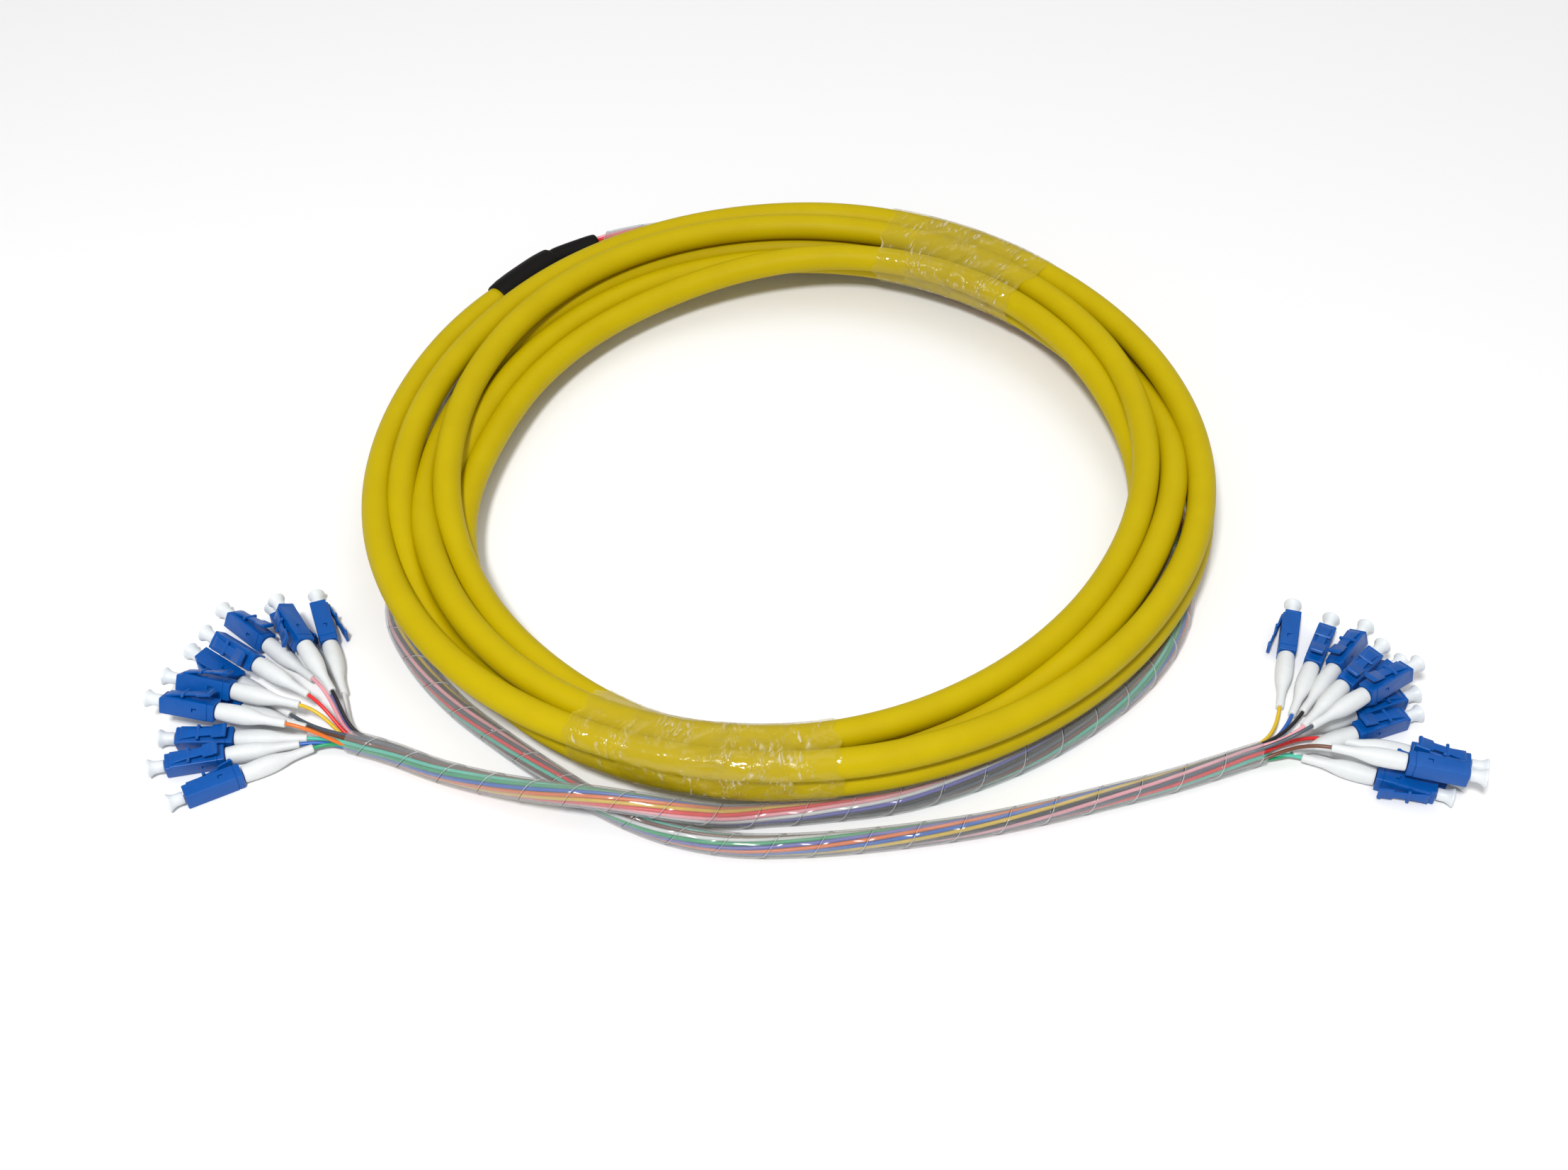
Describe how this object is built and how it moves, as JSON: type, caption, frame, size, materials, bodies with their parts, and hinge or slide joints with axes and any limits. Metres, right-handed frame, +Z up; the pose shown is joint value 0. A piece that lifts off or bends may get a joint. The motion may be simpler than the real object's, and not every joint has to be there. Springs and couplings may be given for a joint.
{
  "type": "fibre optic trunk cable",
  "caption": "Coiled and taped trunk cable whose ends break out through heat shrink and clear spiral wrap into fans of coloured fibres with small capped plugs.",
  "frame": {"origin": "middle of the footprint, on the surface that the cable lies on", "axes": "+Z up out of the surface, +X along the line from one fan of connectors to the other, -Y towards the fans"},
  "size_m": [0.407, 0.2985, 0.028],
  "materials": {
    "jacket": "smooth extruded jacket",
    "heat_shrink": "satin shrunk sleeve",
    "wrap": "clear spiral wrap",
    "film": "clear stretch film",
    "boot": "smooth soft boot",
    "housing": "moulded",
    "cap": "moulded, slightly translucent"
  },
  "bodies": {
    "root": {"coil": "jacket", "heat_shrink_a_large": "heat_shrink", "heat_shrink_a_small": "heat_shrink", "heat_shrink_b_large": "heat_shrink", "heat_shrink_b_small": "heat_shrink", "spiral_wrap_a": "wrap", "spiral_wrap_b": "wrap", "tape_front": "film", "tape_back": "film", "fibre_fan_a": "boot", "fibre_fan_b": "boot", "housing_a_01": "housing", "housing_a_02": "housing", "housing_a_03": "housing", "housing_a_04": "housing", "housing_a_05": "housing", "housing_a_06": "housing", "housing_a_07": "housing", "housing_a_08": "housing", "housing_a_09": "housing", "housing_a_10": "housing", "housing_a_11": "housing", "housing_a_12": "housing", "housing_b_01": "housing", "housing_b_02": "housing", "housing_b_03": "housing", "housing_b_04": "housing", "housing_b_05": "housing", "housing_b_06": "housing", "housing_b_07": "housing", "housing_b_08": "housing", "housing_b_09": "housing", "housing_b_10": "housing", "housing_b_11": "housing", "housing_b_12": "housing", "cap_a_01": "cap", "cap_a_02": "cap", "cap_a_03": "cap", "cap_a_04": "cap", "cap_a_05": "cap", "cap_a_06": "cap", "cap_a_07": "cap", "cap_a_08": "cap", "cap_a_09": "cap", "cap_a_10": "cap", "cap_a_11": "cap", "cap_a_12": "cap", "cap_b_01": "cap", "cap_b_02": "cap", "cap_b_03": "cap", "cap_b_04": "cap", "cap_b_05": "cap", "cap_b_06": "cap", "cap_b_07": "cap", "cap_b_08": "cap", "cap_b_09": "cap", "cap_b_10": "cap", "cap_b_11": "cap", "cap_b_12": "cap"}
  },
  "joints": []
}
